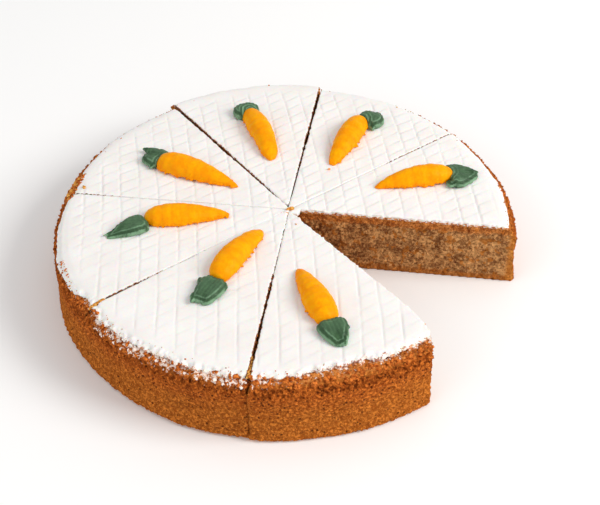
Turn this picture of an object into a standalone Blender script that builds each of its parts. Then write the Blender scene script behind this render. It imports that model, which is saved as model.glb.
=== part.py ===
"""A round carrot cake, cut in eight, with one slice taken away.

Seven slices keep the whole's shape. Each is a sponge, the frosting on it, a piped
carrot and the carrot's leaf, and every one of these is a solid of its own.

Metres, +Z up. The cake rests on Z = 0, and the origin is under the middle of the box
round the seven slices. The sizes below are measured from the middle of the round cake,
and the cuts meet a little off it, as they do in a cake cut by hand. Angles run
anticlockwise from +X, seen from above.
"""

from dataclasses import dataclass
from math import atan2, cos, degrees, exp, hypot, pi, radians, sin, sqrt

import bmesh
import bpy
from mathutils import Vector
from mathutils.geometry import intersect_line_line_2d

# ---- driving sizes -------------------------------------------------------------------

RIM_RADIUS = 0.1312         # the wall just below its rounded shoulder
FOOT_RADIUS = 0.1328        # the wall spreads a little towards the base
WAIST = 0.0007              # how far the wall pulls in between the two
CAKE_HEIGHT = 0.0412        # from the base to the top of the frosting
FROSTING_THICK = 0.0022
SHOULDER = 0.0080           # radius of the wall's rounded top edge
FOOT_ROUND = 0.0016
CLEAR = 0.0003              # gap between pieces that touch

SPONGE_HEIGHT = CAKE_HEIGHT - FROSTING_THICK - CLEAR
TURN_STEPS = 96             # facets round the whole cake
SHOULDER_STEPS = 4
WALL_STEPS = 3

FROSTING_REACH = 0.1265     # from the middle to the frosting's edge
FROSTING_FLAT = 0.1175      # the frosting starts to thin here
EDGE_STEPS = 4
UNDER_STEPS = 6

# Where the frosting runs further or stops shorter than usual: angle, half width, change.
EDGE_CHANGES = (
    (285.0, 12.0, -0.0066),
    (305.0, 5.0, -0.0030),
    (214.0, 3.5, -0.0030),
    (193.0, 15.0, 0.0036),
    (168.0, 4.0, -0.0030),
)

# Slow waves of the wall and of the frosting's edge: waves per turn, height, phase.
WALL_WAVES = ((3, 0.0005, 0.7), (7, 0.0003, 2.1), (17, 0.00015, 4.0))
EDGE_WAVES = ((5, 0.0004, 1.3), (13, 0.0004, 0.2), (29, 0.0004, 3.1))

CAKE_MIDDLE = Vector((-0.0005, -0.0012, 0.0))
CUT_CENTRE = Vector((0.0030, 0.0015))
BLADE_REACH = 0.200         # a wedge cutter's length, well past the rim


@dataclass(frozen=True)
class Cut:
    """One knife cut: its angle, and its width at the centre and at the rim.

    broken is how much of the corner before the cut has broken away at the rim.
    """
    angle: float
    inner: float
    outer: float
    broken: float = 0.0


CUTS = (
    Cut(351.0, 0.0003, 0.0003),
    Cut(35.0, 0.0003, 0.0004),
    Cut(79.9, 0.0003, 0.0004),
    Cut(125.0, 0.0003, 0.0004),
    Cut(171.7, 0.0003, 0.0006),
    Cut(216.0, 0.0003, 0.0016),
    Cut(260.6, 0.0004, 0.0014),
    Cut(307.6, 0.0003, 0.0003, 0.0105),
)

BREAK_START = 0.095         # a broken corner curves away from its cut from here outwards
BREAK_STEPS = 5
BROKEN_REACH = 0.141        # a wedge cutter's length along a broken corner

# Slices that sit further out than the rest, along their own middle lines.
PULLED_OUT = {3: 0.0042, 7: 0.0012}


@dataclass(frozen=True)
class Piped:
    """A drop of piped icing, flat underneath: a carrot, or the leaf at its head.

    It lies along its own line from 0 to length. Width and height follow
    share ** at_start * (1 - share) ** at_end, so a large power makes a sharp end and
    a small one a blunt end. bow is the sideways bend, to the left of the line.
    """
    length: float
    width: float
    height: float
    at_start: float
    at_end: float
    bow: float = 0.0
    swells: float = 0.0     # waves along the top
    taper: float = 0.0      # how much narrower it gets from start to end, as a share
    crease: float = 0.0     # depth of the groove along the middle, as a share


@dataclass(frozen=True)
class Topping:
    """One slice's carrot and leaf.

    The carrot's tip is reach from the cut centre, turned from the slice's middle line,
    and points away from its head along aim, both in degrees. The leaf starts ahead of
    the carrot's head and beside it, and turns off the carrot's line by leaf_aim.
    """
    reach: float
    turn: float
    aim: float
    carrot: Piped
    leaf: Piped
    ahead: float
    beside: float
    leaf_aim: float


SWELLS = 6.0
SWELL_DEPTH = 0.02
CREASE_WIDTH = 0.30
TUCK = 0.30                 # how far a drop's sides curl in under it, as a share

TOPPINGS = {
    1: Topping(0.0522, 5.9, -1.3,
               Piped(0.0482, 0.0146, 0.0092, 0.75, 0.42, 0.0012, SWELLS),
               Piped(0.0182, 0.0208, 0.0062, 0.22, 0.40, taper=0.45, crease=0.30),
               -0.0042, -0.0024, 3.0),
    2: Topping(0.0464, -0.5, 8.0,
               Piped(0.0497, 0.0152, 0.0088, 0.74, 0.39, 0.0004, SWELLS),
               Piped(0.0132, 0.0172, 0.0068, 0.30, 0.32, crease=0.15),
               -0.0062, -0.0040, -14.0),
    3: Topping(0.0426, -0.3, 5.1,
               Piped(0.0516, 0.0143, 0.0088, 0.54, 0.39, -0.0015, SWELLS),
               Piped(0.0135, 0.0170, 0.0070, 0.45, 0.38, crease=0.10),
               -0.0080, 0.0008, 4.0),
    4: Topping(0.0353, -2.9, 4.6,
               Piped(0.0543, 0.0168, 0.0092, 0.84, 0.32, -0.0007, SWELLS),
               Piped(0.0140, 0.0165, 0.0056, 0.25, 0.25, taper=0.25, crease=0.45),
               -0.0034, -0.0008, -8.0),
    5: Topping(0.0343, -6.2, -10.0,
               Piped(0.0481, 0.0162, 0.0085, 0.80, 0.42, 0.0002, SWELLS),
               Piped(0.0250, 0.0150, 0.0060, 0.30, 0.80, taper=0.20, crease=0.30),
               -0.0022, 0.0032, 25.0),
    6: Topping(0.0254, -5.9, 0.9,
               Piped(0.0464, 0.0158, 0.0085, 0.63, 0.34, -0.0017, SWELLS),
               Piped(0.0196, 0.0158, 0.0056, 0.20, 0.20, taper=0.35, crease=0.35),
               -0.0010, 0.0008, 3.0),
    7: Topping(0.0503, -9.4, 6.5,
               Piped(0.0450, 0.0158, 0.0083, 0.75, 0.33, 0.0001, SWELLS),
               Piped(0.0178, 0.0166, 0.0058, 0.20, 0.28, taper=0.55, crease=0.30),
               -0.0012, 0.0004, -3.0),
}

DROP_SIDES = 12
CARROT_RINGS = 22
LEAF_RINGS = 12
CUTTER_SINK = 0.0010        # a cutter reaches this far below the piece that it cuts

SPONGE_COLOUR = (0.314, 0.100, 0.022)
FROSTING_COLOUR = (0.890, 0.860, 0.830)
CARROT_COLOUR = (0.950, 0.370, 0.008)
LEAF_COLOUR = (0.065, 0.155, 0.068)


# ---- scene helpers -------------------------------------------------------------------

def clear_scene():
    for old in list(bpy.data.objects):
        bpy.data.objects.remove(old, do_unlink=True)


def make_collection(name):
    collection = bpy.data.collections.new(name)
    bpy.context.scene.collection.children.link(collection)
    return collection


def make_material(name, colour, roughness):
    material = bpy.data.materials.new(name)
    material.use_nodes = True
    shader = material.node_tree.nodes["Principled BSDF"]
    shader.inputs["Base Color"].default_value = (*colour, 1.0)
    shader.inputs["Roughness"].default_value = roughness
    shader.inputs["Metallic"].default_value = 0.0
    return material


def make_object(name, mesh, collection, parent=None, material=None):
    thing = bpy.data.objects.new(name, mesh)
    collection.objects.link(thing)
    thing.parent = parent
    if material:
        mesh.materials.clear()
        mesh.materials.append(material)
    return thing


def make_cutter(name, mesh, collection, parent):
    cutter = make_object(name, mesh, collection, parent)
    cutter.hide_render = True
    cutter.display_type = 'WIRE'
    return cutter


def add_boolean(thing, cutter, operation):
    boolean = thing.modifiers.new(cutter.name, 'BOOLEAN')
    boolean.operation = operation
    boolean.solver = 'EXACT'
    boolean.object = cutter


def smooth(mesh, sharp_degrees):
    mesh.shade_smooth()
    mesh.set_sharp_from_angle(angle=radians(sharp_degrees))


# ---- the cake before it is cut -------------------------------------------------------

def wave_sum(waves, angle):
    """The height of some waves at an angle, given in radians."""
    return sum(height * sin(count * angle + phase) for count, height, phase in waves)


def past_flat(radius):
    """How far a point is out over the sponge's rounded shoulder."""
    return max(radius - (RIM_RADIUS - SHOULDER), 0.0)


def height_over(radius, lift):
    """The height of a point that lies lift above the sponge's top or its shoulder."""
    return SPONGE_HEIGHT - SHOULDER + sqrt((SHOULDER + lift) ** 2 - past_flat(radius) ** 2)


def lift_at(radius, height):
    """How far above the sponge's top or its shoulder a point lies."""
    return hypot(past_flat(radius), height - (SPONGE_HEIGHT - SHOULDER)) - SHOULDER


def sponge_profile():
    """The sponge's half section, from the middle of its top to the middle of its base."""
    outline = [(0.0, SPONGE_HEIGHT)]
    for step in range(SHOULDER_STEPS + 1):
        turn = 0.5 * pi * step / SHOULDER_STEPS
        radius = RIM_RADIUS - SHOULDER * (1.0 - sin(turn))
        outline.append((radius, SPONGE_HEIGHT - SHOULDER * (1.0 - cos(turn))))
    wall_top = SPONGE_HEIGHT - SHOULDER
    for step in range(1, WALL_STEPS + 1):
        share = step / WALL_STEPS
        radius = RIM_RADIUS + (FOOT_RADIUS - RIM_RADIUS) * share ** 2
        radius -= WAIST * sin(pi * share)
        outline.append((radius, wall_top + (FOOT_ROUND - wall_top) * share))
    outline.append((FOOT_RADIUS - FOOT_ROUND, 0.0))
    outline.append((0.0, 0.0))
    return outline


def frosting_profile():
    """The frosting's half section: its top, its thinning edge, then its underside."""
    outline = [(0.0, height_over(0.0, CLEAR + FROSTING_THICK))]
    for step in range(EDGE_STEPS + 1):
        turn = 0.5 * pi * step / EDGE_STEPS
        radius = FROSTING_FLAT + (FROSTING_REACH - FROSTING_FLAT) * sin(turn)
        outline.append((radius, height_over(radius, CLEAR + FROSTING_THICK * cos(turn))))
    for step in range(1, UNDER_STEPS + 1):
        radius = FROSTING_REACH + (FROSTING_FLAT - FROSTING_REACH) * step / UNDER_STEPS
        outline.append((radius, height_over(radius, CLEAR)))
    outline.append((0.0, height_over(0.0, CLEAR)))
    return outline


def turned_mesh(name, outline):
    """Turn a half section about Z, and keep the result as a plain mesh."""
    section = bpy.data.meshes.new(name + "_section")
    points = [(radius, 0.0, height) for radius, height in outline]
    links = [(index, index + 1) for index in range(len(points) - 1)]
    section.from_pydata(points, links, [])
    guide = bpy.data.objects.new(name + "_section", section)
    bpy.context.scene.collection.objects.link(guide)
    screw = guide.modifiers.new("turn", 'SCREW')
    screw.axis = 'Z'
    screw.angle = 2.0 * pi
    screw.steps = TURN_STEPS
    screw.render_steps = TURN_STEPS
    screw.use_merge_vertices = True
    screw.merge_threshold = 0.00001
    view = bpy.context.evaluated_depsgraph_get()
    mesh = bpy.data.meshes.new_from_object(guide.evaluated_get(view))
    mesh.name = name
    bpy.data.objects.remove(guide, do_unlink=True)
    return mesh


def ripple_wall(mesh):
    """Push the wall in and out in slow waves, most at the rim and nothing inside."""
    for vertex in mesh.vertices:
        radius = hypot(vertex.co.x, vertex.co.y)
        share = (radius / RIM_RADIUS) ** 4
        push = share * wave_sum(WALL_WAVES, atan2(vertex.co.y, vertex.co.x))
        factor = 1.0 + push / max(radius, RIM_RADIUS * 0.1)
        vertex.co.x *= factor
        vertex.co.y *= factor


def edge_reach(angle):
    """How far the frosting reaches at an angle in radians."""
    reach = FROSTING_REACH + wave_sum(EDGE_WAVES, angle)
    for middle, half_width, change in EDGE_CHANGES:
        off = (degrees(angle) - middle + 180.0) % 360.0 - 180.0
        reach += change * exp(-(off / half_width) ** 2)
    return reach


def ripple_edge(mesh):
    """Draw the frosting's edge in and out along the sponge's shoulder."""
    for vertex in mesh.vertices:
        radius = hypot(vertex.co.x, vertex.co.y)
        if radius <= FROSTING_FLAT:
            continue
        lift = lift_at(radius, vertex.co.z)
        stretch = edge_reach(atan2(vertex.co.y, vertex.co.x)) - FROSTING_FLAT
        share = (radius - FROSTING_FLAT) / (FROSTING_REACH - FROSTING_FLAT)
        moved = FROSTING_FLAT + share * stretch
        vertex.co = (vertex.co.x * moved / radius, vertex.co.y * moved / radius,
                     height_over(moved, lift))


def whole_sponge():
    mesh = turned_mesh("whole_sponge", sponge_profile())
    ripple_wall(mesh)
    smooth(mesh, 50.0)
    return mesh


def whole_frosting():
    mesh = turned_mesh("whole_frosting", frosting_profile())
    ripple_edge(mesh)
    ripple_wall(mesh)
    smooth(mesh, 50.0)
    return mesh


# ---- slices --------------------------------------------------------------------------

def compass(degrees_round):
    return Vector((cos(radians(degrees_round)), sin(radians(degrees_round))))


def slice_sweep(number):
    """A slice's first and last angle."""
    first = CUTS[number - 1].angle
    last = CUTS[number].angle
    if last < first:
        first -= 360.0
    return first, last


def blade_point(cut, side, reach):
    """A point on one side of a cut. side is 1 past the cut and -1 before it."""
    along = compass(cut.angle)
    across = Vector((-along.y, along.x)) * side
    half_gap = (cut.inner + (cut.outer - cut.inner) * reach / RIM_RADIUS) / 2.0
    past_break = max(reach - BREAK_START, 0.0) / (RIM_RADIUS - BREAK_START)
    lost = cut.broken * past_break ** 3 if side < 0.0 else 0.0
    return CUT_CENTRE + along * reach + across * (half_gap + lost)


def blade_side(cut, side):
    """One side of a cut from near the centre to past the rim, round a broken corner."""
    if side > 0.0 or cut.broken == 0.0:
        return [blade_point(cut, side, BLADE_REACH)]
    stretch = BROKEN_REACH - BREAK_START
    reaches = [BREAK_START + stretch * step / BREAK_STEPS for step in range(BREAK_STEPS + 1)]
    return [blade_point(cut, side, reach) for reach in reaches]


def wedge_point(first, last):
    """Where the two sides of a slice meet, near the cut centre."""
    ends = []
    for cut, side in ((first, 1.0), (last, -1.0)):
        ends += [blade_point(cut, side, -BREAK_START), blade_point(cut, side, BREAK_START)]
    return intersect_line_line_2d(*ends)


def wedge_mesh(number):
    """A slice's space from above, as an upright block."""
    first = CUTS[number - 1]
    last = CUTS[number]
    outline = [wedge_point(first, last), *blade_side(first, 1.0), *reversed(blade_side(last, -1.0))]
    block = bmesh.new()
    low = -CAKE_HEIGHT / 4.0
    base = block.faces.new([block.verts.new((spot.x, spot.y, low)) for spot in outline])
    raised = bmesh.ops.extrude_face_region(block, geom=[base])
    lift = [item for item in raised["geom"] if isinstance(item, bmesh.types.BMVert)]
    bmesh.ops.translate(block, verts=lift, vec=(0.0, 0.0, CAKE_HEIGHT * 1.5))
    bmesh.ops.recalc_face_normals(block, faces=block.faces)
    mesh = bpy.data.meshes.new(f"wedge_{number}")
    block.to_mesh(mesh)
    block.free()
    return mesh


def slice_empty(number, cake, collection):
    """The slice's own place: its pieces move together when it is pulled out."""
    first, last = slice_sweep(number)
    shift = compass((first + last) / 2.0) * PULLED_OUT.get(number, 0.0)
    empty = make_object(f"slice_{number}", None, collection, cake)
    empty.location = (shift.x, shift.y, 0.0)
    return empty


# ---- piped carrots and leaves --------------------------------------------------------

def raw_fullness(piped, share):
    """A drop's breadth along its length, before it is brought to a greatest of 1."""
    narrowing = 1.0 - piped.taper * share
    return narrowing * share ** piped.at_start * (1.0 - share) ** piped.at_end


def drop_fullness(piped, share):
    """Width and height along a drop, as a share of their greatest."""
    greatest = max(raw_fullness(piped, step / 40.0) for step in range(41))
    swell = 1.0 + SWELL_DEPTH * sin(2.0 * pi * piped.swells * share)
    return swell * raw_fullness(piped, share) / greatest


def drop_point(piped, share, around, grow, floor):
    """A point on a drop's skin: share along it, and around it in radians from its left."""
    fullness = drop_fullness(piped, share)
    half_width = (piped.width / 2.0 + grow) * fullness
    height = (piped.height + grow) * fullness
    groove = 1.0 - piped.crease * exp(-(cos(around) / CREASE_WIDTH) ** 2)
    rise = height * groove * (sin(around) + TUCK) / (1.0 + TUCK)
    along = -grow + (piped.length + 2.0 * grow) * share
    across = half_width * cos(around) + piped.bow * 4.0 * share * (1.0 - share)
    return along, across, max(rise, floor)


def drop_mesh(name, piped, rings, grow=0.0, floor=0.0):
    """A ball of icing drawn out along +X into the drop's form."""
    ball = bmesh.new()
    bmesh.ops.create_uvsphere(ball, u_segments=DROP_SIDES, v_segments=rings, radius=1.0)
    for vertex in ball.verts:
        from_start = pi - atan2(hypot(vertex.co.x, vertex.co.y), vertex.co.z)
        share = (from_start / pi + (1.0 - cos(from_start)) / 2.0) / 2.0
        share = min(max(share, 0.0), 1.0)
        around = atan2(vertex.co.y, vertex.co.x)
        vertex.co = drop_point(piped, share, around, grow, floor)
    bmesh.ops.recalc_face_normals(ball, faces=ball.faces)
    mesh = bpy.data.meshes.new(name)
    ball.to_mesh(mesh)
    ball.free()
    smooth(mesh, 60.0)
    return mesh


def place_carrot(thing, number):
    topping = TOPPINGS[number]
    first, last = slice_sweep(number)
    middle = (first + last) / 2.0
    tip = CUT_CENTRE + compass(middle + topping.turn) * topping.reach
    thing.location = (tip.x, tip.y, CAKE_HEIGHT + CLEAR)
    thing.rotation_euler.z = radians(middle + topping.aim)


def place_leaf(thing, number):
    topping = TOPPINGS[number]
    place_carrot(thing, number)
    line = thing.rotation_euler.z
    ahead = topping.carrot.length + topping.ahead
    offset = Vector((ahead, topping.beside))
    thing.location.x += offset.x * cos(line) - offset.y * sin(line)
    thing.location.y += offset.x * sin(line) + offset.y * cos(line)
    thing.rotation_euler.z = line + radians(topping.leaf_aim)


def add_topping(number, parts, cutters, parent, carrot_material, leaf_material):
    topping = TOPPINGS[number]
    carrot_shape = drop_mesh(f"carrot_{number}", topping.carrot, CARROT_RINGS)
    carrot = make_object(f"carrot_{number}", carrot_shape, parts, parent, carrot_material)
    place_carrot(carrot, number)
    grown = drop_mesh(f"carrot_{number}_cutter", topping.carrot, CARROT_RINGS, CLEAR, -CUTTER_SINK)
    cutter = make_cutter(f"carrot_{number}_cutter", grown, cutters, parent)
    place_carrot(cutter, number)
    leaf_shape = drop_mesh(f"leaf_{number}", topping.leaf, LEAF_RINGS)
    leaf = make_object(f"leaf_{number}", leaf_shape, parts, parent, leaf_material)
    place_leaf(leaf, number)
    add_boolean(leaf, cutter, 'DIFFERENCE')


# ---- the cake ------------------------------------------------------------------------

def main():
    clear_scene()
    parts = make_collection("carrot_cake")
    cutters = make_collection("cutters")
    sponge_material = make_material("baked_sponge", SPONGE_COLOUR, 0.85)
    frosting_material = make_material("white_frosting", FROSTING_COLOUR, 0.55)
    carrot_material = make_material("orange_icing", CARROT_COLOUR, 0.40)
    leaf_material = make_material("green_icing", LEAF_COLOUR, 0.45)
    cake = make_object("cake", None, parts)
    cake.location = CAKE_MIDDLE
    sponge_shape = whole_sponge()
    frosting_shape = whole_frosting()
    for number in range(1, len(CUTS)):
        place = slice_empty(number, cake, parts)
        wedge = make_cutter(f"wedge_{number}", wedge_mesh(number), cutters, place)
        sponge = make_object(f"sponge_{number}", sponge_shape.copy(), parts, place, sponge_material)
        add_boolean(sponge, wedge, 'INTERSECT')
        frosting = make_object(f"frosting_{number}", frosting_shape.copy(), parts, place,
                               frosting_material)
        add_boolean(frosting, wedge, 'INTERSECT')
        add_topping(number, parts, cutters, place, carrot_material, leaf_material)


main()
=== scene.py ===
import random
from math import atan2, ceil, cos, degrees, pi, radians, sin

import bpy
import numpy as np
from mathutils import Matrix, Vector
from mathutils.bvhtree import BVHTree


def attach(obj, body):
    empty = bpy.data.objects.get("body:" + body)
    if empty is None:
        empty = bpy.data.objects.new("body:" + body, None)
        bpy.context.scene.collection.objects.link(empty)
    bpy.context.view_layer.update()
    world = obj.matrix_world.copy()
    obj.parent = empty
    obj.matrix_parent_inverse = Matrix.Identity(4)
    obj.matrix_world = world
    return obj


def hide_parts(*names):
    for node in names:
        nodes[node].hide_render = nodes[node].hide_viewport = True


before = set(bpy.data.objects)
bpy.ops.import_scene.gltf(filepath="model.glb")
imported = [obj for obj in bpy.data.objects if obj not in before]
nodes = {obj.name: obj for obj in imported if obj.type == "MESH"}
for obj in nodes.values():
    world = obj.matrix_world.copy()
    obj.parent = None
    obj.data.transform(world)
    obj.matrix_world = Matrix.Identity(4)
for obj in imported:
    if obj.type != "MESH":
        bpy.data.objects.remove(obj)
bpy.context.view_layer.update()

# A carrot cake in seven slices, cut from a round that had eight.
# Sizes are in metres, angles in degrees round the cake, from +X towards +Y.

MM = 0.001
SLICES = range(1, 8)
CAKE_MIDDLE = Vector((-0.0005, -0.0012, 0.0))
CUT_CENTRE = CAKE_MIDDLE + Vector((0.0030, 0.0015, 0.0))
CUTS = (351.0, 395.0, 439.9, 485.0, 531.7, 576.0, 620.6, 667.6)
CAKE_HEIGHT = 0.0412
SPONGE_HEIGHT = 0.0387
FROSTING_THICK = 0.0022
RIM_RADIUS = 0.1312
SHOULDER = 0.0080

GRAIN = 1.0
SPONGE_GRAIN = 0.00075 * GRAIN
FROSTING_GRAIN = 0.00056 * GRAIN
CARROT_GRAIN = 0.00040 * GRAIN
LEAF_GRAIN = 0.00030 * GRAIN

chance = random.Random(26)


# ---------------------------------------------------------------- shaping


def compass(angle, reach=1.0):
    return Vector((cos(radians(angle)) * reach, sin(radians(angle)) * reach, 0.0))


def ramp(value, low, high):
    """0 up to low, 1 from high on, and smooth between them."""
    share = np.clip((value - low) / (high - low), 0.0, 1.0)
    return share * share * (3.0 - 2.0 * share)


def take(piece):
    """Selects this piece alone."""
    bpy.ops.object.select_all(action="DESELECT")
    piece.select_set(True)
    bpy.context.view_layer.objects.active = piece


def change(piece, kind, **settings):
    """Adds one modifier and applies it."""
    take(piece)
    modifier = piece.modifiers.new(kind.lower(), kind)
    for name, value in settings.items():
        setattr(modifier, name, value)
    bpy.ops.object.modifier_apply(modifier=modifier.name)


def copy_node(node, name):
    """A merged copy of one solid, ready to be worked on."""
    piece = bpy.data.objects.new(name, nodes[node].data.copy())
    piece.data.name = name
    bpy.context.scene.collection.objects.link(piece)
    piece.data.materials.clear()
    take(piece)
    bpy.ops.object.mode_set(mode="EDIT")
    bpy.ops.mesh.select_all(action="SELECT")
    bpy.ops.mesh.remove_doubles(threshold=1e-5)
    bpy.ops.object.mode_set(mode="OBJECT")
    bpy.ops.mesh.customdata_custom_splitnormals_clear()
    return piece


def remesh(piece, grain):
    change(piece, "REMESH", mode="VOXEL", voxel_size=grain, adaptivity=0.0)
    piece.data.shade_smooth()


def spots(piece):
    """Where the vertices are, one row each."""
    flat = np.empty(len(piece.data.vertices) * 3, np.float32)
    piece.data.vertices.foreach_get("co", flat)
    return flat.reshape(-1, 3).astype(float)


def facings(piece):
    """The way each vertex faces."""
    flat = np.empty(len(piece.data.vertices) * 3, np.float32)
    piece.data.vertex_normals.foreach_get("vector", flat)
    return flat.reshape(-1, 3).astype(float)


def weigh(piece, name, weights, levels=80):
    """A vertex group with these weights, one for each vertex."""
    group = piece.vertex_groups.new(name=name)
    steps = np.rint(np.clip(weights, 0.0, 1.0) * levels).astype(int)
    for step in range(1, levels + 1):
        chosen = np.flatnonzero(steps == step)
        if len(chosen):
            group.add(chosen.tolist(), step / levels, "REPLACE")
    return name


def note(piece, name, values):
    """A number on each vertex that the piece's finish reads."""
    layer = piece.data.attributes.new(name, "FLOAT", "POINT")
    layer.data.foreach_set("value", np.asarray(values, np.float32))


def texture(name, kind, **settings):
    made = bpy.data.textures.new(name, kind)
    for setting, value in settings.items():
        setattr(made, setting, value)
    return made


def push(piece, depth, by=None, where="", way="NORMAL", middle=0.5, guide=None):
    """Moves the surface along its normal, or along an axis, by a texture."""
    if not depth:
        return
    settings = dict(strength=depth, mid_level=middle, direction=way, vertex_group=where)
    if by is not None:
        settings.update(texture=by, texture_coords="OBJECT" if guide else "LOCAL")
        if guide:
            settings["texture_coords_object"] = guide
    change(piece, "DISPLACE", **settings)


def finish_piece(piece, slot, replaced=None, **notes):
    """Puts the piece on the cake's body, in place of its solid, with what its finish reads."""
    piece.vertex_groups.clear()
    for name, values in notes.items():
        note(piece, name, values)
    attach(piece, "root")
    if replaced:
        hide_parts(replaced)


def ragged(angle):
    """How torn the frosting's edge is: all along the front, and hardly elsewhere."""
    return 0.22 + 0.78 * ramp(angle, 200.0, 222.0) * (1.0 - ramp(angle, 330.0, 345.0))


def by_cut(number, rest, out, values):
    """On each cut face of a slice its own cut's value, and 0 off the cut faces."""
    middle = radians((CUTS[number - 1] + CUTS[number]) / 2.0)
    side = out[:, 1] * cos(middle) - out[:, 0] * sin(middle)
    return ramp(np.abs(side), 0.45, 0.75) * np.where(side > 0.0, values[number], values[number - 1])


def around_cake(places):
    """Each place's distance from the cake's middle and its angle in degrees."""
    across = places[:, 0] - CAKE_MIDDLE.x
    along = places[:, 1] - CAKE_MIDDLE.y
    return np.hypot(across, along), np.degrees(np.arctan2(along, across)) % 360.0


# ---------------------------------------------------------------- sponge


LUMPS = texture("lumps", "CLOUDS", noise_scale=0.0034, noise_depth=3)
GRIT = texture("grit", "CLOUDS", noise_scale=0.0013, noise_depth=2)
PITS = texture("pits", "CLOUDS", noise_scale=0.0017, noise_depth=1, contrast=4.0)
PORES = texture("pores", "CLOUDS", noise_scale=0.0019, noise_depth=2, contrast=2.6)
SWELLS = texture("swells", "CLOUDS", noise_scale=0.030, noise_depth=1)
CUT_DRAG = (0.0, 0.0, 0.0, 0.0, 0.25, 1.0, 1.0, 0.0)     # share of the crust drawn across each cut
SEAM_PULL = 0.0012
FROSTING_PULL = 0.0010
CUT_STAIN = (0.0, 0.40, 0.50, 0.75, 0.30, 0.50, 0.80, 0.0)     # crumb wiped on the frosting by the knife
OPEN_STAIN = (0.85, 0.0, 0.0, 0.0, 0.0, 0.0, 0.0, 0.85)
STAIN_START = (0.0, 0.060, 0.014, 0.012, 0.095, 0.080, 0.040, 0.0)     # the wiped part begins this far out
CUT_BRIDGE = (0.0, 0.0, 0.85, 0.85, 0.0, 0.0, 0.55, 0.0)     # frosting closed over the cut near the centre
CUT_NARROW = (0.0, 0.0, 0.75, 0.70, 0.0, 0.60, 0.60, 0.0)


def dress_sponge(number, edge):
    node = f"sponge_{number}"
    piece = copy_node(node, f"crumb_{number}")
    remesh(piece, SPONGE_GRAIN)
    rest, out = spots(piece), facings(piece)
    radius, angle = around_cake(rest)
    height = rest[:, 2]
    outward = (out[:, 0] * (rest[:, 0] - CAKE_MIDDLE.x) + out[:, 1] * (rest[:, 1] - CAKE_MIDDLE.y)) / radius
    wall = ramp(outward, 0.35, 0.75) * ramp(radius, 0.118, 0.124)
    shoulder = ramp(radius, 0.1195, 0.1235) * ramp(height, 0.0290, 0.0335)
    upright = ramp(1.0 - np.abs(out[:, 2]), 0.4, 0.8)
    cut = upright * (1.0 - wall)
    weigh(piece, "wall", wall)
    weigh(piece, "shoulder", shoulder)
    weigh(piece, "cut", cut)
    pressed = ramp(radius, 0.1215, 0.1255) * (1.0 - ramp(height, 0.0300, 0.0375))
    seams = []
    for border, inwards in ((number - 1, 1.0), (number, -1.0)):
        across = compass(CUTS[border] + 90.0, inwards)
        depth = (rest[:, 0] - CUT_CENTRE.x) * across.x + (rest[:, 1] - CUT_CENTRE.y) * across.y
        weigh(piece, f"seam_{border}", pressed * (1.0 - ramp(depth, 0.0006, 0.0032)) * CUT_DRAG[border])
        seams.append((f"seam_{border}", across))
    push(piece, 0.0013, LUMPS, "shoulder", middle=0.50)
    push(piece, 0.0005, PITS, "shoulder", middle=0.9)
    push(piece, 0.0005, SWELLS, "wall")
    push(piece, 0.0004, PITS, "wall", middle=0.85)
    push(piece, 0.0008, GRIT, "wall")
    push(piece, 0.0011, PORES, "cut", middle=0.80)
    push(piece, 0.0012, LUMPS, "cut", middle=0.55)
    push(piece, 0.0008, GRIT, "cut", middle=0.62)
    moved = spots(piece)
    for seam, across in seams:
        push(piece, -SEAM_PULL * across.x, where=seam, way="X", middle=0.0)
        push(piece, -SEAM_PULL * across.y, where=seam, way="Y", middle=0.0)
    finish_piece(piece, "sponge", node, wall=wall,
                 relief=((moved - rest) * out).sum(axis=1) / MM,
                 crust=1.0 - ramp(RIM_RADIUS - radius, 0.0015, 0.0048),
                 smear=np.where(height > 0.026, edge_distance(edge, radius, angle, height), 0.02) / MM
                 + 6.0 * (1.0 - ragged(angle)) + 2.2 * ramp(angle, 262.0, 272.0))
    return piece


def edge_line(piece):
    """How far out and how high the frosting's edge is, for each degree round the cake."""
    radius, angle = around_cake(spots(piece))
    height = spots(piece)[:, 2]
    order = np.argsort(radius)
    reach, level = np.zeros(360), np.full(360, 0.04)
    reach[angle[order].astype(int) % 360] = radius[order]
    level[angle[order].astype(int) % 360] = height[order]
    return reach, level


def edge_distance(edge, radius, angle, height):
    """The distance from the frosting's edge, in the upright plane through the cake's middle."""
    reach, level = edge
    turn = angle.astype(int) % 360
    return np.hypot(radius - reach[turn], height - level[turn])


# ---------------------------------------------------------------- frosting


SCORE_SPACING = 0.01065
SCORE_START = -0.1010
CROSS_SPACING = 0.0090
SCORE_ROWS = 20

score_tilts = [chance.uniform(15.0, 24.0) for _ in range(SCORE_ROWS)]
score_shifts = [chance.uniform(-0.0016, 0.0016) for _ in range(SCORE_ROWS)]


def score_place(places):
    """How far each place is along the long scores' spacing, and between the cross scores."""
    x = places[:, 0] - CUT_CENTRE.x
    y = places[:, 1] - CUT_CENTRE.y
    long_way = x + 0.084 * y + 0.375 * y * y - 0.15 * x * y
    rows = (long_way - SCORE_START) / SCORE_SPACING
    within = rows - np.floor(rows)
    cell = rows + 0.5
    row = np.clip(np.floor(cell), 0, SCORE_ROWS - 1).astype(int)
    tilt = np.tan(np.radians(np.array(score_tilts)))[row]
    shift = np.array(score_shifts)[row]
    crosses = (y - tilt * (cell - np.floor(cell) - 0.5) * SCORE_SPACING - 0.26 * x + shift) / CROSS_SPACING
    between = crosses - np.floor(crosses)
    return within, between, row


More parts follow.
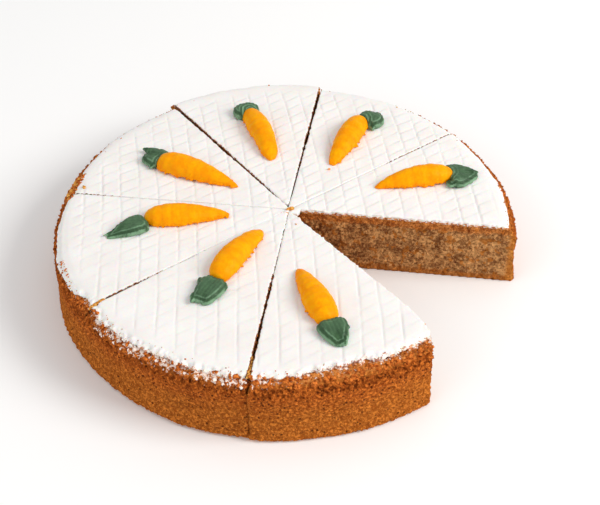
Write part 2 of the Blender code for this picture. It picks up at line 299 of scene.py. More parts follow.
SMEARS = texture("smears", "CLOUDS", noise_scale=0.0036, noise_depth=3, contrast=1.6)
FROST_WAVES = texture("frost_waves", "CLOUDS", noise_scale=0.0140, noise_depth=1)
FROST_GRAIN = texture("frost_grain", "CLOUDS", noise_scale=0.0022, noise_depth=1)
BITES = texture("bites", "CLOUDS", noise_scale=0.0020, noise_depth=2, contrast=1.8)
RAGS = texture("rags", "CLOUDS", noise_scale=0.0030, noise_depth=2, cloud_type="COLOR", contrast=1.6)


def dress_frosting(number):
    node = f"frosting_{number}"
    piece = copy_node(node, f"icing_{number}")
    if number == 1:
        join(piece, [knob(CUT_CENTRE + compass(329.0, -0.0012) + Vector((0.0, 0.0, CAKE_HEIGHT - 0.0013)),
                          radians(329.0), 0.0082, 0.0056, 0.0024, 0.05)])
    remesh(piece, FROSTING_GRAIN)
    rest, out = spots(piece), facings(piece)
    radius, angle = around_cake(rest)
    height = rest[:, 2]
    top = ramp(out[:, 2], 0.55, 0.9)
    flat = 1.0 - ramp(radius, 0.116, 0.1225)
    within, between, row = score_place(rest)
    fade = 0.65 + 0.35 * np.sin(rest[:, 1] / 0.021 + 9.0 * np.sin(rest[:, 0] / 0.017))
    fade = fade * (0.45 + 0.55 * ramp(rest[:, 1], -0.060, 0.010))
    stroke = 0.30 + 0.70 * np.clip(np.sin(rest[:, 1] / 0.014 + 2.4 * row), 0.0, 1.0)
    groove = np.exp(-((within - 0.5) * SCORE_SPACING / 0.00068) ** 2) * top * flat * stroke
    lip = np.exp(-((within - 0.40) * SCORE_SPACING / 0.0010) ** 2) * top * flat * fade
    cross = np.exp(-((0.5 - np.abs(between - 0.5)) * CROSS_SPACING / 0.0011) ** 2) * top * flat * (1.0 - groove) * fade
    weigh(piece, "groove", groove)
    weigh(piece, "lip", lip)
    weigh(piece, "cross", cross)
    weigh(piece, "slope", between * (1.0 - ramp(between, 0.80, 1.0)) * top * flat * (1.0 - groove) * fade)
    weigh(piece, "top", top)
    weigh(piece, "under", ramp(-out[:, 2], 0.3, 0.6))
    reach = edge_line(piece)[0][angle.astype(int) % 360]
    weigh(piece, "edge", ramp(radius - reach, -0.0050, -0.0008) * ragged(angle))
    inward = np.hypot(rest[:, 0] - CUT_CENTRE.x, rest[:, 1] - CUT_CENTRE.y)
    uneven = 0.80 + 0.20 * ramp(inward, 0.035, 0.060) * (
        2.0 * np.sin(inward / 0.0019 + 2.0 * np.sin(inward / 0.0031)) - 1.0)
    seams = []
    for border, inwards in ((number - 1, 1.0), (number, -1.0)):
        across = compass(CUTS[border] + 90.0, inwards)
        depth = (rest[:, 0] - CUT_CENTRE.x) * across.x + (rest[:, 1] - CUT_CENTRE.y) * across.y
        depth -= depth[inward > 0.030].min()
        closed = np.maximum(CUT_BRIDGE[border] * (1.0 - ramp(inward, 0.010, 0.018)),
                            CUT_NARROW[border] * (1.0 - 0.6 * ramp(inward, 0.060, 0.115)) * uneven)
        weigh(piece, f"seam_{border}", closed * (1.0 - ramp(depth, 0.0003, 0.0014)))
        seams.append((f"seam_{border}", across))
    push(piece, -0.00045, where="groove", way="Z", middle=0.0)
    push(piece, 0.00005, where="lip", way="Z", middle=0.0)
    push(piece, -0.00020, where="cross", way="Z", middle=0.0)
    push(piece, 0.00030, where="slope", way="Z", middle=0.0)
    smudge = np.hypot((rest[:, 0] - CUT_CENTRE.x + 0.0294) / 0.0030, (rest[:, 1] - CUT_CENTRE.y + 0.0648) / 0.0012)
    weigh(piece, "smudge", np.exp(-smudge ** 2) * top)
    push(piece, -0.0007, where="smudge", way="Z", middle=0.0)
    push(piece, 0.0006, FROST_WAVES, "top", way="Z")
    push(piece, 0.00002, FROST_GRAIN, "top", way="Z")
    push(piece, 0.0008, RAGS, "edge", way="RGB_TO_XYZ")
    push(piece, 0.0026, SMEARS, "edge", middle=0.55)
    weigh(piece, "bitten", by_cut(number, rest, out, OPEN_STAIN) * (1.0 - ramp(radius, 0.120, 0.126)))
    push(piece, 0.0016, BITES, "bitten", middle=0.70)
    push(piece, -0.0004, where="under", way="Z", middle=0.0)
    for seam, across in seams:
        push(piece, -FROSTING_PULL * across.x, where=seam, way="X", middle=0.0)
        push(piece, -FROSTING_PULL * across.y, where=seam, way="Y", middle=0.0)
    edge = edge_line(piece)
    radius, angle = around_cake(spots(piece))
    finish_piece(piece, "frosting", node, groove=groove, cross=cross,
                 sliced=by_cut(number, rest, out, CUT_STAIN) * (1.0 - top) * (
                     0.12 + 0.88 * ramp(inward - by_cut(number, rest, out, STAIN_START), 0.0, 0.030)),
                 bared=by_cut(number, rest, out, OPEN_STAIN) * (1.0 - ramp(height, 0.0392, 0.0400)),
                 inset=edge_distance(edge, radius, angle, spots(piece)[:, 2]) / MM
                 + 8.0 * (1.0 - ragged(angle)))
    return piece, edge


# ---------------------------------------------------------------- carrots and leaves


FINE_SOFT = texture("fine_soft", "CLOUDS", noise_scale=0.0030, noise_depth=1)
BURRS = texture("burrs", "CLOUDS", noise_scale=0.0028, noise_depth=2, contrast=2.6)
ICING_BASE = CAKE_HEIGHT + 0.0003
RIPPLE_SPACING = 0.0052

# how much fuller each carrot's tip is than its solid's
BLUNT_TIPS = {1: 0.0, 2: 0.0006, 3: 0.0008, 4: 0.0, 5: 0.0005, 6: 0.0009, 7: 0.0004}
# torn bits of icing: share of the carrot's length from its tip, size, and side (1 is towards the front)
TORN_BITS = {
    1: ((0.60, 0.0018, 1),),
    2: ((0.46, 0.0028, 1), (0.10, 0.0018, 1)),
    4: ((0.06, 0.0020, 1), (0.12, 0.0018, -1), (0.24, 0.0018, -1), (0.36, 0.0016, -1)),
    5: ((0.03, 0.0024, 1),),
    6: ((0.45, 0.0018, 1),),
    7: ((0.70, 0.0016, 1),),
}
# the leaves' lobes: ahead and beside the carrot's head, turn, length, width, height, taper
LEAF_LOBES = {
    1: ((0.0060, -0.0015, -5.0, 0.0085, 0.0090, 0.0046, 0.75), (-0.0040, -0.0060, -100.0, 0.0060, 0.0070, 0.0040, 0.40)),
    2: ((0.0030, -0.0050, -75.0, 0.0076, 0.0100, 0.0056, 0.30), (-0.0040, -0.0080, -150.0, 0.0056, 0.0045, 0.0040, 0.50)),
    3: ((0.0010, 0.0050, 100.0, 0.0042, 0.0100, 0.0050, 0.10),),
    4: ((0.0010, -0.0062, 4.0, 0.0140, 0.0080, 0.0052, 0.62), (0.0030, 0.0010, 108.0, 0.0082, 0.0056, 0.0040, 0.50)),
    5: ((0.0130, 0.0085, 24.0, 0.0105, 0.0052, 0.0030, 0.95), (0.0060, 0.0070, 60.0, 0.0066, 0.0110, 0.0032, 0.40)),
    6: ((0.0120, -0.0025, 13.0, 0.0092, 0.0062, 0.0042, 0.75), (0.0070, -0.0020, -130.0, 0.0064, 0.0066, 0.0046, 0.50),
        (0.0090, 0.0030, 50.0, 0.0066, 0.0080, 0.0040, 0.50)),
    7: ((0.0070, 0.0012, 0.0, 0.0112, 0.0086, 0.0044, 0.60), (0.0050, 0.0030, 78.0, 0.0056, 0.0060, 0.0040, 0.40),
        (0.0060, -0.0020, -100.0, 0.0056, 0.0060, 0.0040, 0.40)),
}


def drop_line(number):
    """The carrot's tip, the direction from its tip to its head, and its length."""
    places = spots(nodes[f"carrot_{number}"])
    middle = places.mean(axis=0)
    flat = places[:, :2] - middle[:2]
    line = np.linalg.svd(flat, full_matrices=False)[2][0]
    to_leaf = spots(nodes[f"leaf_{number}"]).mean(axis=0)[:2] - middle[:2]
    if line @ to_leaf < 0:
        line = -line
    along = flat @ line
    return Vector((*(middle[:2] + line * along.min()), 0.0)), Vector((*line, 0.0)), np.ptp(along)


def knob(place, turn, length, width, height, taper=0.0):
    """A drop of icing that starts at its place and points along its turn."""
    bpy.ops.object.select_all(action="DESELECT")
    bpy.ops.mesh.primitive_ico_sphere_add(subdivisions=3, radius=0.5)
    piece = bpy.context.object
    for corner in piece.data.vertices:
        share = 1.0 - taper * (corner.co.x + 0.5)
        corner.co.y *= share
        corner.co.z *= 1.0 - 0.5 * (1.0 - share)
    middle = Matrix.Translation((0.5, 0.0, 0.0))
    size = Matrix.Diagonal((length, width, height, 1.0))
    piece.data.transform(Matrix.Translation(place) @ Matrix.Rotation(turn, 4, "Z") @ size @ middle)
    return piece


def join(piece, others):
    take(piece)
    for other in others:
        other.select_set(True)
    bpy.ops.object.join()


def torn_bits(piece, number, tip, line, length):
    """Small burrs of icing along the carrot's foot, mostly on the side towards the front."""
    left = Vector((-line.y, line.x, 0.0))
    front = left if left.y < 0.0 else -left
    places = spots(piece)
    along = (places[:, 0] - tip.x) * line.x + (places[:, 1] - tip.y) * line.y
    aside = (places[:, 0] - tip.x) * front.x + (places[:, 1] - tip.y) * front.y
    rows = [(chance.uniform(-0.05, 0.05) + share, chance.uniform(0.0005, 0.0012), 1)
            for share in np.arange(0.10, 0.90, 1.2 * RIPPLE_SPACING / length)]
    bits = []
    for share, size, side in rows + list(TORN_BITS.get(number, ())):
        near = np.abs(along - share * length) < 0.0010
        if not near.any():
            continue
        edge = (aside[near] * side).max() * side
        place = tip + line * (share * length) + front * (edge - side * size * 0.35)
        place.z = ICING_BASE + size * 0.32
        turn = atan2(front.y * side, front.x * side) + radians(chance.uniform(-25.0, 25.0))
        bits.append(knob(place - Matrix.Rotation(turn, 3, "Z") @ Vector((size * 0.4, 0.0, 0.0)),
                         turn, size * 1.3, size * chance.uniform(1.2, 2.0), size * 0.7, 0.5))
    return bits


def dress_carrot(number):
    node = f"carrot_{number}"
    piece = copy_node(node, f"piped_carrot_{number}")
    tip, line, length = drop_line(number)
    change(piece, "SUBSURF", levels=2, render_levels=2)
    push(piece, 0.00022, middle=0.0)
    rest, out = spots(piece), facings(piece)
    along = (rest[:, 0] - tip.x) * line.x + (rest[:, 1] - tip.y) * line.y
    weigh(piece, "tip", (1.0 - ramp(along, 0.004, 0.015)) * ramp(1.0 - np.abs(out[:, 2]), 0.1, 0.5))
    push(piece, BLUNT_TIPS[number], where="tip", middle=0.0)
    piece.vertex_groups.clear()
    join(piece, torn_bits(piece, number, tip, line, length))
    if number == 2:
        join(piece, [knob(tip - line * 0.0042 + Vector((0.0, 0.0, ICING_BASE + 0.0003)), 0.4, 0.0014, 0.0010, 0.0009)])
    remesh(piece, CARROT_GRAIN)
    rest, out = spots(piece), facings(piece)
    low, high = rest[:, 2].min(), rest[:, 2].max()
    along = (rest[:, 0] - tip.x) * line.x + (rest[:, 1] - tip.y) * line.y
    foot = (1.0 - ramp(rest[:, 2], low + 0.0012, low + 0.0032)) * ramp(rest[:, 2], low, low + 0.0008)
    weigh(piece, "foot", foot * ramp(-out[:, 1] - 0.3 * out[:, 0], 0.1, 0.6))
    ripple = 0.5 + 0.5 * np.sin(2.0 * pi * along / RIPPLE_SPACING + 0.9 * np.sin(along / 0.004))
    ripple = ripple ** 3
    weigh(piece, "ripple", ripple * ramp(out[:, 2], -0.2, 0.3))
    push(piece, -0.00011, where="ripple", middle=0.0)
    push(piece, 0.0004, FINE_SOFT, middle=0.5)
    push(piece, 0.0010, BURRS, "foot", middle=0.45)
    finish_piece(piece, "carrot_icing", node, ripple=ripple, rise=(rest[:, 2] - low) / (high - low))
    return piece


def dress_leaf(number):
    node = f"leaf_{number}"
    piece = copy_node(node, f"piped_leaf_{number}")
    change(piece, "SUBSURF", levels=2, render_levels=2)
    push(piece, 0.00030, middle=0.0)
    tip, line, length = drop_line(number)
    left = Vector((-line.y, line.x, 0.0))
    heading = atan2(line.y, line.x)
    lobes = []
    for ahead, beside, turn, long, wide, high, taper in LEAF_LOBES[number]:
        place = tip + line * (length + ahead) + left * beside + Vector((0.0, 0.0, ICING_BASE + high * 0.36))
        lobes.append(knob(place, heading + radians(turn), long, wide, high, taper))
    join(piece, lobes)
    remesh(piece, LEAF_GRAIN)
    change(piece, "SMOOTH", factor=0.5, iterations=3)
    rest, out = spots(piece), facings(piece)
    low, high = rest[:, 2].min(), rest[:, 2].max()
    across = (rest[:, 1] - tip.y) * line.x - (rest[:, 0] - tip.x) * line.y
    inset = foot_distance(rest, out, low)
    towards_front = ramp(-(rest[:, 1] - rest[:, 1].mean()) / np.ptp(rest[:, 1]), -0.15, 0.20)
    fold = np.exp(-((inset - 0.0014) / 0.00045) ** 2) * (0.25 + 0.75 * towards_front) * ramp(out[:, 2], 0.0, 0.4)
    # where the leaf's painted highlight goes: its outline and a line just inside it, stronger towards the front
    edge = (1.0 - ramp(inset, 0.0002, 0.0006)) + 0.8 * np.exp(-((inset - 0.0022) / 0.00035) ** 2)
    edge = edge * (0.30 + 0.70 * towards_front)
    rib = 0.5 + 0.5 * np.sin(2.0 * pi * across / 0.0021 + number)
    weigh(piece, "fold", fold)
    weigh(piece, "rib", rib * ramp(out[:, 2], 0.0, 0.5))
    push(piece, -0.00024, where="fold", middle=0.0)
    push(piece, -0.00020, where="rib", middle=0.0)
    push(piece, 0.0008, FINE_SOFT, middle=0.5)
    finish_piece(piece, "leaf_icing", node, rib=rib, fold=fold, rim_light=edge,
                 rise=(rest[:, 2] - low) / (high - low))
    return piece


def foot_distance(rest, out, low):
    """The distance of each place from the leaf's outline, seen from above."""
    outline = rest[(rest[:, 2] < low + 0.0022) & (np.abs(out[:, 2]) < 0.5)][:, :2]
    nearest = np.full(len(rest), 1.0)
    for start in range(0, len(rest), 2000):
        gaps = rest[start:start + 2000, None, :2] - outline[None, ::3]
        nearest[start:start + 2000] = np.sqrt((gaps ** 2).sum(axis=2)).min(axis=1)
    return nearest


# ---------------------------------------------------------------- crumbs


def lump(name, faces_twice, roughness):
    """One crumb, a millimetre across, with its own mesh."""
    bpy.ops.object.select_all(action="DESELECT")
    bpy.ops.mesh.primitive_ico_sphere_add(subdivisions=faces_twice, radius=0.5)
    piece = bpy.context.object
    piece.name = name
    piece.data.transform(Matrix.Translation((7.0 * chance.random(), 0.0, 0.0)))
    push(piece, roughness, texture(name, "CLOUDS", noise_scale=0.40, noise_depth=1), middle=0.5)
    places = spots(piece)
    piece.data.transform(Matrix.Translation(-Vector(places.mean(axis=0))))
    return piece


def strew(name, kinds, places):
    """Copies of the lumps at these places (point, size), seeded, joined as one piece."""
    copies = []
    for point, size in places:
        kind = chance.choice(kinds)
        grain = bpy.data.objects.new(name, kind.data.copy())
        bpy.context.scene.collection.objects.link(grain)
        turn = Matrix.Rotation(chance.uniform(0, 2 * pi), 4, "Z") @ Matrix.Rotation(chance.uniform(0, pi), 4, "X")
        stretch = Matrix.Diagonal((size, size * chance.uniform(0.6, 1.0), size * chance.uniform(0.5, 0.9), 1.0))
        grain.data.transform(Matrix.Translation(point) @ turn @ stretch)
        copies.append(grain)
    bpy.ops.object.select_all(action="DESELECT")
    for grain in copies:
        grain.select_set(True)
    bpy.context.view_layer.objects.active = copies[0]
    bpy.ops.object.join()
    piece = bpy.context.object
    piece.name = piece.data.name = name
    piece.data.shade_smooth()
    return piece


# ---------------------------------------------------------------- finishes


class Wire:
    """One socket of a finish, so that its maths reads as plain expressions."""

    def __init__(self, finish, socket):
        self.finish = finish
        self.socket = socket

    def maths(self, operation, first, second):
        return self.finish.node("ShaderNodeMath", {"operation": operation}, {0: first, 1: second})

    def __add__(self, other):
        return self.maths("ADD", self, other)

    def __sub__(self, other):
        return self.maths("SUBTRACT", self, other)

    def __mul__(self, other):
        return self.maths("MULTIPLY", self, other)

    def __truediv__(self, other):
        return self.maths("DIVIDE", self, other)

    def __radd__(self, other):
        return self.maths("ADD", other, self)

    def __rsub__(self, other):
        return self.maths("SUBTRACT", other, self)

    def __rmul__(self, other):
        return self.maths("MULTIPLY", other, self)

    def __gt__(self, other):
        return self.maths("GREATER_THAN", self, other)


class Finish:
    """A material in the making: every surface pattern is read on the object's own place."""

    def __init__(self, name, **constants):
        self.material = bpy.data.materials.new(name)
        self.material.use_nodes = True
        self.tree = self.material.node_tree
        self.shader = self.tree.nodes["Principled BSDF"]
        for socket, value in constants.items():
            self.shader.inputs[socket.replace("_", " ")].default_value = value
        self.place = self.node("ShaderNodeTexCoord", {}, {}, "Object")

    def node(self, kind, settings, sockets, out=0):
        made = self.tree.nodes.new(kind)
        for name, value in settings.items():
            if name == "stops":
                self.set_stops(made.color_ramp, value)
            else:
                setattr(made, name, value)
        for key, value in sockets.items():
            if isinstance(value, Wire):
                self.tree.links.new(value.socket, made.inputs[key])
            else:
                made.inputs[key].default_value = value
        return Wire(self, made.outputs[out])

    @staticmethod
    def set_stops(bar, stops):
        while len(bar.elements) < len(stops):
            bar.elements.new(0.5)
        for element, (place, colour) in zip(bar.elements, stops):
            element.position = place
            element.color = (*colour, 1.0)

    def noise(self, size, detail=3.0, roughness=0.55, stretch=None):
        where = self.place
        if stretch:
            where = self.node("ShaderNodeMapping", {}, {"Vector": where, "Scale": stretch})
        return self.node("ShaderNodeTexNoise", {},
                         {"Vector": where, "Scale": 1.0 / size, "Detail": detail, "Roughness": roughness})

    def cells(self, size):
        """Distance to the nearest of many scattered points, and a shade of grey for each point."""
        distance = self.node("ShaderNodeTexVoronoi", {}, {"Vector": self.place, "Scale": 1.0 / size})
        return distance, Wire(self, distance.socket.node.outputs["Color"])

    def dots(self, size, share, widest=0.34):
        """Round marks on this share of the scattered points."""
        distance, shade = self.cells(size)
        chosen = self.between(shade, 1.0 - share, 1.04 - share) if not isinstance(share, Wire) \
            else self.between(shade + share, 1.0, 1.04)
        return self.between(distance, widest, widest * 0.6) * chosen

    def between(self, value, low, high):
        """0 to 1 as value goes from low to high, smoothly."""
        return self.node("ShaderNodeMapRange", {"interpolation_type": "SMOOTHSTEP"},
                         {"Value": value, "From Min": low, "From Max": high})

    def mix(self, share, first, second, kind="MIX"):
        colours = {6: first if isinstance(first, Wire) else (*first, 1.0),
                   7: second if isinstance(second, Wire) else (*second, 1.0)}
        return self.node("ShaderNodeMix", {"data_type": "RGBA", "blend_type": kind}, {0: share, **colours}, 2)

    def read(self, name):
        return self.node("ShaderNodeAttribute", {"attribute_name": name}, {}, "Fac")

    def heights(self):
        return self.node("ShaderNodeSeparateXYZ", {}, {0: self.place}, "Z")

    def put(self, socket, wire):
        self.tree.links.new(wire.socket, self.shader.inputs[socket])

    def bump(self, height, depth, strength=1.0):
        """Fine relief, depth in metres for a height of one."""
        self.put("Normal", self.node("ShaderNodeBump", {},
                                     {"Height": height, "Distance": depth, "Strength": strength}))


def sponge_finish():
    finish = Finish("baked_sponge", Roughness=0.92, Specular_IOR_Level=0.08)
    relief, wall, crust, smear = (finish.read(name) for name in ("relief", "wall", "crust", "smear"))
    high = finish.heights()
    sand = finish.between(finish.noise(0.0015, 4.0, 0.8), 0.38, 0.62)
    patch = finish.noise(0.011, 3.0, 0.6)
    # the browned outside: golden below, redder and darker towards the top
    gold = finish.mix(sand, (0.350, 0.082, 0.008), (0.820, 0.258, 0.038))
    red = finish.mix(sand, (0.300, 0.056, 0.006), (0.800, 0.210, 0.030))
    baked = finish.between(high + (patch - 0.5) * 0.018, 0.014, 0.032)
    outside = finish.mix(baked, gold, red)
    # painted shade: the crust is darkened where its surface is sunk
    outside = finish.mix(finish.between(relief, -0.20, -0.80) * 0.45, outside, (0.15, 0.030, 0.005))
    # dark dots for the crust's small pits, painted shade, more of them towards the top
    outside = finish.mix(finish.dots(0.0019, 0.26 + 0.26 * baked, 0.40) * 0.80, outside, (0.060, 0.012, 0.003))
    # the cut crumb
    tone = finish.between(0.75 * finish.noise(0.0014, 5.0, 0.85) + 0.25 * finish.noise(0.0060, 1.0, 0.5), 0.41, 0.59)
    crumb = finish.mix(tone, (0.250, 0.084, 0.026), (1.0, 0.520, 0.195))
    fleck = finish.between(finish.noise(0.0038, 1.0, 0.4), 0.60, 0.64)
    crumb = finish.mix(fleck * 0.7, crumb, (0.62, 0.19, 0.020))
    # dark dots for the crumb's holes, painted shade
    crumb = finish.mix(finish.dots(0.0024, 0.16) * 0.7, crumb, (0.060, 0.020, 0.008))
    # painted shade: the crumb is darkened where its surface is sunk
    crumb = finish.mix(finish.between(relief, -0.4, -1.2) * 0.45, crumb, (0.160, 0.056, 0.016))
    band = finish.between(high + (patch - 0.5) * 0.006, 0.0325, 0.0350)
    foot = finish.between(high + (patch - 0.5) * 0.004, 0.0050, 0.0025)
    browned = finish.mix(sand, (0.38, 0.095, 0.010), (0.72, 0.230, 0.034))
    crumb = finish.mix(band * 0.62, crumb, finish.mix(tone, (0.40, 0.080, 0.008), (1.0, 0.31, 0.045)))
    crumb = finish.mix(foot * 0.7, crumb, browned)
    crumb = finish.mix(crust * 0.90, crumb, finish.mix(sand, (0.60, 0.170, 0.022), (0.96, 0.38, 0.070)))
    surface = finish.mix(wall, crumb, outside)
    # frosting smeared over the crust beside its edge
    torn = finish.between(smear, 6.5, 2.5)
    lumpy = finish.noise(0.0020, 3.0, 0.7)
    surface = finish.mix(torn * 0.7, surface, finish.mix(finish.between(lumpy, 0.38, 0.60),
                                                          (0.34, 0.060, 0.008), (1.0, 0.34, 0.070)))
    cover = finish.between(finish.noise(0.0024, 3.0, 0.75) - smear * 0.045, 0.38, 0.44)
    surface = finish.mix(cover * 0.94, surface, (1.0, 0.87, 0.78))
    finish.put("Base Color", surface)
    finish.bump(sand * (cover * -0.85 + 1.0), 0.0004)
    return finish.material


def frosting_finish():
    finish = Finish("cream_frosting", Roughness=0.6, Subsurface_Weight=0.20,
                    Subsurface_Scale=0.003, Specular_IOR_Level=0.15)
    groove, cross, inset = (finish.read(name) for name in ("groove", "cross", "inset"))
    sliced, bared = finish.read("sliced"), finish.read("bared")
    cloud = finish.noise(0.018, 3.0, 0.5)
    base = finish.mix(finish.between(cloud, 0.3, 0.7), (0.875, 0.840, 0.815), (0.905, 0.880, 0.860))
    # painted shade in the long scores' grooves
    base = finish.mix(groove * 0.42, base, (0.66, 0.62, 0.60))
    # painted shade in the cross scores
    base = finish.mix(cross * 0.20, base, (0.76, 0.725, 0.705))
    crumbs = finish.between(finish.noise(0.0022, 3.0, 0.75) - inset * 0.065, 0.45, 0.50)
    # near the frosting's edge a warmer, lighter cream: the pinkish tint of thin icing over the crust, and partly
    # painted light that lifts the shade at the edge
    base = finish.mix(finish.between(inset, 3.2, 0.6) * 0.65, base, (1.0, 0.87, 0.79))
    base = finish.mix(crumbs * 0.85, base, finish.mix(finish.between(cloud, 0.4, 0.6), (0.30, 0.070, 0.014), (0.72, 0.270, 0.075)))
    flecks = finish.between(finish.noise(0.0012, 2.0, 0.6), 0.40, 0.60)
    wiped = finish.between(finish.noise(0.0018, 2.0, 0.6) + sliced * 0.35, 0.50, 0.66)
    base = finish.mix(wiped * finish.between(sliced, 0.05, 0.15), base,
                      finish.mix(flecks, (0.110, 0.035, 0.014), (0.420, 0.170, 0.065)))
    # the open cut faces a warmer, lighter cream: a warm tint, and partly painted light that lifts the shade on these
    # faces
    base = finish.mix(finish.between(bared, 0.1, 0.6) * 0.6, base, (1.0, 0.88, 0.76))
    dusted = finish.between(finish.noise(0.0018, 2.0, 0.6) + bared * 0.35, 0.56, 0.66)
    base = finish.mix(dusted * finish.between(bared, 0.05, 0.15), base,
                      finish.mix(flecks, (0.420, 0.110, 0.025), (0.900, 0.400, 0.140)))
    finish.put("Base Color", base)
    finish.bump(finish.noise(0.0030, 2.0, 0.5), 0.00003)
    return finish.material


def carrot_finish():
    finish = Finish("orange_icing", Roughness=0.45, Subsurface_Weight=0.10,
                    Subsurface_Scale=0.0015, Specular_IOR_Level=0.05)
    rise, ripple = finish.read("rise"), finish.read("ripple")
    cloud = finish.noise(0.006, 2.0, 0.5)
    base = finish.mix(finish.between(cloud, 0.3, 0.7), (0.96, 0.32, 0.001), (0.98, 0.41, 0.001))
    base = finish.mix(finish.between(rise, 0.45, 0.0) * 0.5, base, (0.93, 0.22, 0.003))
    # painted shade in the ripples' grooves
    base = finish.mix(ripple * 0.18, base, (0.90, 0.22, 0.003))
    finish.put("Base Color", base)
    finish.bump(finish.noise(0.0012, 2.0, 0.5), 0.00015)
    return finish.material


def leaf_finish():
    finish = Finish("green_icing", Roughness=0.42, Specular_IOR_Level=0.20)
    rise, rib, fold, light = (finish.read(name) for name in ("rise", "rib", "fold", "rim_light"))
    cloud = finish.noise(0.004, 3.0, 0.6)
    base = finish.mix(finish.between(cloud, 0.3, 0.7), (0.028, 0.070, 0.028), (0.060, 0.138, 0.058))
    # painted shade in the grooves between the ribs
    base = finish.mix(rib * 0.35, base, (0.024, 0.060, 0.028))
    # painted light: the leaf is lighter on its high parts
    base = finish.mix(finish.between(rise, 0.60, 0.95) * 0.30, base, (0.125, 0.225, 0.130))
    # painted shade in the fold near the leaf's edge
    base = finish.mix(fold * 0.32, base, (0.016, 0.044, 0.020))
    # painted highlight along the leaf's edge and a line just inside it
    base = finish.mix(light * finish.between(cloud, 0.25, 0.55) * 0.70, base, (0.250, 0.440, 0.270))
    finish.put("Base Color", base)
    finish.bump(finish.noise(0.0012, 2.0, 0.5), 0.0002)
    return finish.material


def crumb_finish(name, dark, light, grit=0.0004):
    finish = Finish(name, Roughness=0.92, Specular_IOR_Level=0.08)
    speck = finish.noise(0.0014, 3.0, 0.6)
    finish.put("Base Color", finish.mix(finish.between(speck, 0.35, 0.65), dark, light))
    finish.bump(finish.noise(0.0006, 3.0, 0.6), grit)
    return finish.material


# ---------------------------------------------------------------- the cake


SPONGE = sponge_finish()
FROSTING = frosting_finish()
CARROT = carrot_finish()
LEAF = leaf_finish()
BROWN_CRUMB = crumb_finish("brown_crumb", (0.28, 0.055, 0.008), (0.80, 0.230, 0.040))
WHITE_CRUMB = crumb_finish("white_crumb", (1.0, 0.82, 0.70), (1.0, 0.93, 0.87), 0.00006)
GOLD_CRUMB = crumb_finish("gold_crumb", (0.62, 0.230, 0.035), (0.95, 0.520, 0.130))

def keep(piece, material):
    piece.data.materials.append(material)
    return piece


made = []
for number in SLICES:
    icing, edge = dress_frosting(number)
    made.append(keep(icing, FROSTING))
    made.append(keep(dress_sponge(number, edge), SPONGE))
    keep(dress_carrot(number), CARROT)
    keep(dress_leaf(number), LEAF)

lumps = [lump(f"crumb_shape_{n}", 2, 0.70) for n in range(4)]


def ground_under(point, trees, reach=0.0):
    """The point on the highest surface under a place, or that far beside it, or None."""
    level = None
    for turn in range(0, 360, 90) if reach else (0,):
        start = point + compass(turn, reach)
        for tree in trees:
            hit = tree.ray_cast(Vector((start.x, start.y, 0.08)), Vector((0.0, 0.0, -1.0)))
            if hit[0] is not None:
                level = max(level or 0.0, hit[0].z)
    return None if level is None else Vector((point.x, point.y, level))


graph = bpy.context.evaluated_depsgraph_get()
tops = [BVHTree.FromObject(piece, graph) for piece in made if piece.name.startswith(("crumb_", "icing_"))]


def rim_places(count, angles, inner, outer, small, large, spread=1.0):
    """Places on the cake's top between two angles and two distances from its middle."""
    places = []
    while len(places) < count:
        angle = angles[0] + (angles[1] - angles[0]) * (0.5 + (chance.random() - 0.5) * chance.random() ** (spread - 1.0))
        point = CAKE_MIDDLE + compass(angle, chance.uniform(inner, outer))
        ground = ground_under(point, tops)
        if ground and ground.z > 0.026:
            size = small + (large - small) * chance.random() ** 2
            places.append((ground - Vector((0.0, 0.0, size * 0.08)), size))
    return places


def cut_places(count, cut, inner, outer, width, depth):
    """Places down in a cut, between two distances from where the cuts meet."""
    places = []
    for _ in range(count):
        along, aside = compass(CUTS[cut]), compass(CUTS[cut] + 90.0)
        point = CUT_CENTRE + along * chance.uniform(inner, outer) + aside * chance.uniform(-width, width)
        if cut in (2, 3):
            point += aside * (PULLED_WIDTH if cut == 2 else -PULLED_WIDTH)
        size = chance.uniform(0.0006, 0.0015)
        places.append((point + Vector((0.0, 0.0, CAKE_HEIGHT - chance.uniform(0.0010, depth))), size))
    return places


PULLED_WIDTH = 0.0007
# single crumbs on the frosting: place across and along from where the cuts meet, and size
LOOSE_CRUMBS = (
    (0.0013, -0.0003, 0.0030), (-0.0004, -0.0008, 0.0024), (0.0038, -0.0138, 0.0011), (-0.1194, 0.0231, 0.0026),
    (0.0686, 0.0980, 0.0009), (0.0774, 0.0977, 0.0009),
)
brown_places = rim_places(70, (220.0, 322.0), 0.1215, 0.1275, 0.0005, 0.0012)
brown_places += rim_places(90, (222.0, 264.0), 0.1258, 0.1298, 0.0010, 0.0034)
brown_places += rim_places(170, (258.0, 312.0), 0.1250, 0.1298, 0.0012, 0.0036)
brown_places += rim_places(60, (325.0, 372.0), 0.1255, 0.1295, 0.0006, 0.0016)
brown_places += rim_places(16, (12.0, 160.0), 0.1225, 0.1290, 0.0006, 0.0015)
brown_places += rim_places(130, (161.0, 173.0), 0.1230, 0.1300, 0.0010, 0.0026)
brown_places += rim_places(70, (210.0, 219.0), 0.1245, 0.1295, 0.0010, 0.0024)
brown_places += rim_places(70, (197.0, 214.0), 0.1255, 0.1298, 0.0007, 0.0024)
brown_places += cut_places(45, 2, 0.02, 0.125, 0.0006, 0.006)
brown_places += cut_places(45, 3, 0.02, 0.125, 0.0006, 0.006)
brown_places += cut_places(40, 6, 0.05, 0.118, 0.0005, 0.005)
brown = keep(strew("rim_crumbs", lumps, brown_places), BROWN_CRUMB)
finish_piece(brown, "sponge")
gold_places = cut_places(60, 6, 0.1150, 0.1290, 0.0008, 0.0022)
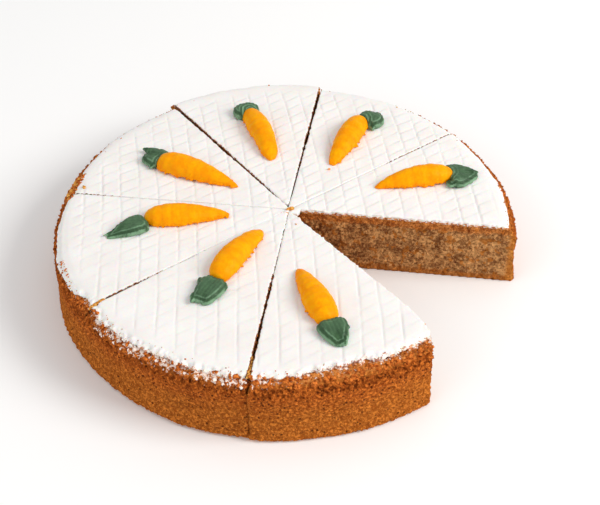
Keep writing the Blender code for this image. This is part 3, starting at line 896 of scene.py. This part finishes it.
for _ in range(30):
    spot = CUT_CENTRE + compass(CUTS[5], chance.uniform(0.1205, 0.1295)) + compass(CUTS[5] + 90.0, chance.uniform(-0.0006, 0.0006))
    ground = ground_under(spot, tops, 0.0016)
    if ground:
        gold_places.append((ground - Vector((0.0, 0.0, 0.0004)), chance.uniform(0.0009, 0.0019)))
gold_places += rim_places(40, (162.0, 172.0), 0.1245, 0.1300, 0.0016, 0.0034)
for across, along, size in LOOSE_CRUMBS:
    ground = ground_under(CUT_CENTRE + Vector((across, along, 0.0)), tops, 0.0016)
    if ground:
        gold_places.append((ground + Vector((0.0, 0.0, size * 0.15)), size))
gold = keep(strew("loose_crumbs", lumps, gold_places), GOLD_CRUMB)
finish_piece(gold, "sponge")
white_places = rim_places(60, (222.0, 264.0), 0.1265, 0.1298, 0.0008, 0.0020)
white = keep(strew("rim_icing_bits", lumps, white_places), WHITE_CRUMB)
finish_piece(white, "frosting")
for shape in lumps:
    bpy.data.objects.remove(shape)


# ---------------------------------------------------------------- room, light and camera


bpy.ops.object.select_all(action="DESELECT")
bpy.ops.mesh.primitive_plane_add(size=6.0, location=(0.0, 0.0, -0.0002))
floor = bpy.context.object
floor.name = "floor"
table = Finish("pale_floor", Roughness=0.9)
table.shader.inputs["Base Color"].default_value = (0.97, 0.97, 0.97, 1.0)
floor.data.materials.append(table.material)

world = bpy.data.worlds.new("studio")
bpy.context.scene.world = world
world.use_nodes = True
world.node_tree.nodes["Background"].inputs["Color"].default_value = (1.0, 1.0, 1.0, 1.0)
world.node_tree.nodes["Background"].inputs["Strength"].default_value = 0.60


def soft_light(name, angle, height, distance, size, power, colour=(1.0, 1.0, 1.0)):
    lamp = bpy.data.lights.new(name, "AREA")
    lamp.energy = power
    lamp.size = size
    lamp.color = colour
    thing = bpy.data.objects.new(name, lamp)
    bpy.context.scene.collection.objects.link(thing)
    aim = compass(angle, cos(radians(height))) + Vector((0.0, 0.0, sin(radians(height))))
    thing.location = aim * distance
    thing.rotation_euler = aim.to_track_quat("Z", "Y").to_euler()


soft_light("key", -15.0, 36.0, 2.2, 1.00, 35.5, (1.0, 0.98, 0.95))
soft_light("fill", 215.0, 30.0, 2.2, 1.6, 9.0, (1.0, 0.98, 0.96))

CAMERA_PLACE = Vector((0.0082, -0.5126, 0.4669))
LOOK_DOWN = 41.84
ROLL = -1.10
camera = bpy.data.objects.new("camera", bpy.data.cameras.new("camera"))
bpy.context.scene.collection.objects.link(camera)
camera.data.lens = 70.33
camera.data.sensor_width = 36.0
ahead = Vector((0.0, cos(radians(LOOK_DOWN)), -sin(radians(LOOK_DOWN))))
right = Vector((1.0, 0.0, 0.0))
up = right.cross(ahead)
turned_right = right * cos(radians(ROLL)) + up * sin(radians(ROLL))
turned_up = up * cos(radians(ROLL)) - right * sin(radians(ROLL))
facing = Matrix((turned_right, turned_up, -ahead)).transposed()
camera.matrix_world = Matrix.Translation(CAMERA_PLACE) @ facing.to_4x4()
bpy.context.scene.camera = camera
bpy.context.scene.view_settings.view_transform = "Standard"
